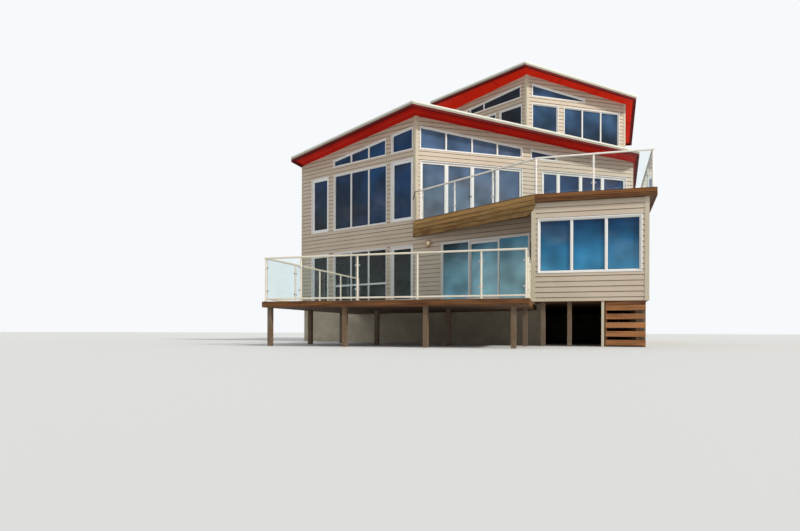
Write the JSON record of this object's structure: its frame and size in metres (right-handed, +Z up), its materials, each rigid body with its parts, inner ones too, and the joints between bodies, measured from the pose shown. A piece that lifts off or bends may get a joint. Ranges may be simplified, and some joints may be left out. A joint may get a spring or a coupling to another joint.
{
  "type": "beach house",
  "caption": "Three-level weatherboard beach house with skillion roofs, an upper deck over an angled front room, a railed terrace and a sliding terrace door.",
  "frame": {"origin": "ground level, under the middle of the base wall at the front corner where the left wall and the deck wall meet", "axes": "+X along the front room to the right, +Y into the house, +Z up"},
  "size_m": [13.3783, 16.69, 11.1151],
  "materials": {
    "weatherboard": "painted weatherboards",
    "base_masonry": "rendered masonry",
    "brown_timber": "stained timber",
    "floor_timber": "floor boards",
    "deck_timber": "weathered oiled timber",
    "roof_sheet": "ribbed steel sheet",
    "red_lining": "red painted lining",
    "edge_paint": "cream paint",
    "rail_paint": "cream powder coat",
    "frame_paint": "white powder coat",
    "trim_paint": "painted timber",
    "light_shade": "pale bulkhead",
    "dark_metal": "dark painted metal",
    "window_glass": "dark reflecting glass",
    "rail_glass": "clear glass"
  },
  "bodies": {
    "house": {"base_walls": "base_masonry", "floor_posts": "brown_timber", "underfloor_slats": "brown_timber", "lower_floor": "floor_timber", "lower_left_wall": "weatherboard", "lower_wall_over_door": "weatherboard", "front_room_side_wall": "weatherboard", "front_room_wall": "weatherboard", "lower_right_wall": "weatherboard", "lower_back_walls": "weatherboard", "upper_floor": "floor_timber", "upper_left_wall": "weatherboard", "upper_deck_wall": "weatherboard", "upper_right_wall": "weatherboard", "upper_back_walls": "weatherboard", "top_floor": "floor_timber", "top_left_wall": "weatherboard", "top_right_wall": "weatherboard", "top_back_walls": "weatherboard", "main_roof": "roof_sheet", "main_soffit": "red_lining", "main_edge_boards": "edge_paint", "top_roof": "roof_sheet", "top_soffit": "red_lining", "top_edge_boards": "edge_paint", "lower_windows": "frame_paint", "lower_glass": "window_glass", "upper_left_windows": "frame_paint", "upper_left_glass": "window_glass", "deck_doors": "frame_paint", "deck_door_glass": "window_glass", "top_windows": "frame_paint", "top_glass": "window_glass", "back_windows": "frame_paint", "back_glass": "window_glass", "terrace_door_frame": "frame_paint", "terrace_door_glass": "window_glass", "deck_floor": "deck_timber", "deck_edge_boards": "deck_timber", "deck_rail": "rail_paint", "deck_rail_glass": "rail_glass", "terrace_floor": "deck_timber", "terrace_rail": "rail_paint", "terrace_rail_glass": "rail_glass", "corner_boards": "trim_paint", "wall_light": "light_shade", "wall_fitting": "dark_metal"},
    "terrace_panel": {"terrace_door_panel": "frame_paint", "terrace_door_panel_glass": "window_glass"}
  },
  "joints": [
    {"name": "terrace_door_slide", "type": "slide", "parent": "house", "child": "terrace_panel", "axis": [-0.9272, 0.3746, 0], "range_m": [0, 1.008]}
  ]
}
